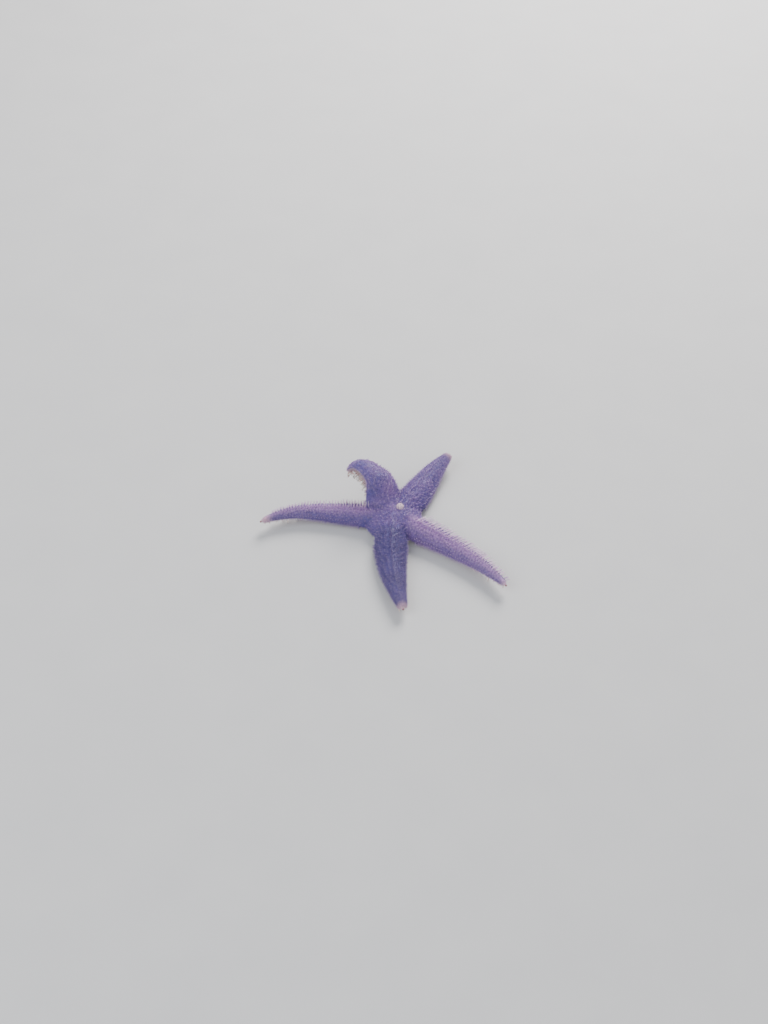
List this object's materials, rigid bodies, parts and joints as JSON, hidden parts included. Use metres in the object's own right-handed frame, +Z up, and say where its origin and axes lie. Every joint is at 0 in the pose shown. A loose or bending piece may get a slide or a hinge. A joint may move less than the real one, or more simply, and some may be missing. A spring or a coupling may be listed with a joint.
{
  "type": "starfish",
  "caption": "Young common starfish with tapering arms, resting on its tube feet, one arm curled up at the tip, for a museum or sea-life display.",
  "frame": {"origin": "on the floor, at the middle of the rectangle that the animal covers", "axes": "+Z up, +X along the longest extent towards the right-hand arms, -Y towards the front arm"},
  "size_m": [0.0658, 0.0583, 0.0135],
  "materials": {
    "disc_skin": "moist blue-violet skin set with pale spines",
    "arm_skin": "moist blue-violet skin, pinker along the ridge, set with pale spines",
    "arm_tip": "moist pale pink skin",
    "eyespot": "glossy red",
    "madreporite": "pale chalky plate with meandering grooves",
    "mouth": "soft pale membrane"
  },
  "bodies": {
    "root": {"disc": "disc_skin", "madreporite": "madreporite", "mouth": "mouth", "arm_back_right": "arm_skin", "tip_back_right": "arm_tip", "eyespot_back_right": "eyespot", "arm_back_left": "arm_skin", "tip_back_left": "arm_tip", "eyespot_back_left": "eyespot", "arm_left": "arm_skin", "tip_left": "arm_tip", "eyespot_left": "eyespot", "arm_front": "arm_skin", "tip_front": "arm_tip", "eyespot_front": "eyespot", "arm_right": "arm_skin", "tip_right": "arm_tip", "eyespot_right": "eyespot"}
  },
  "joints": []
}
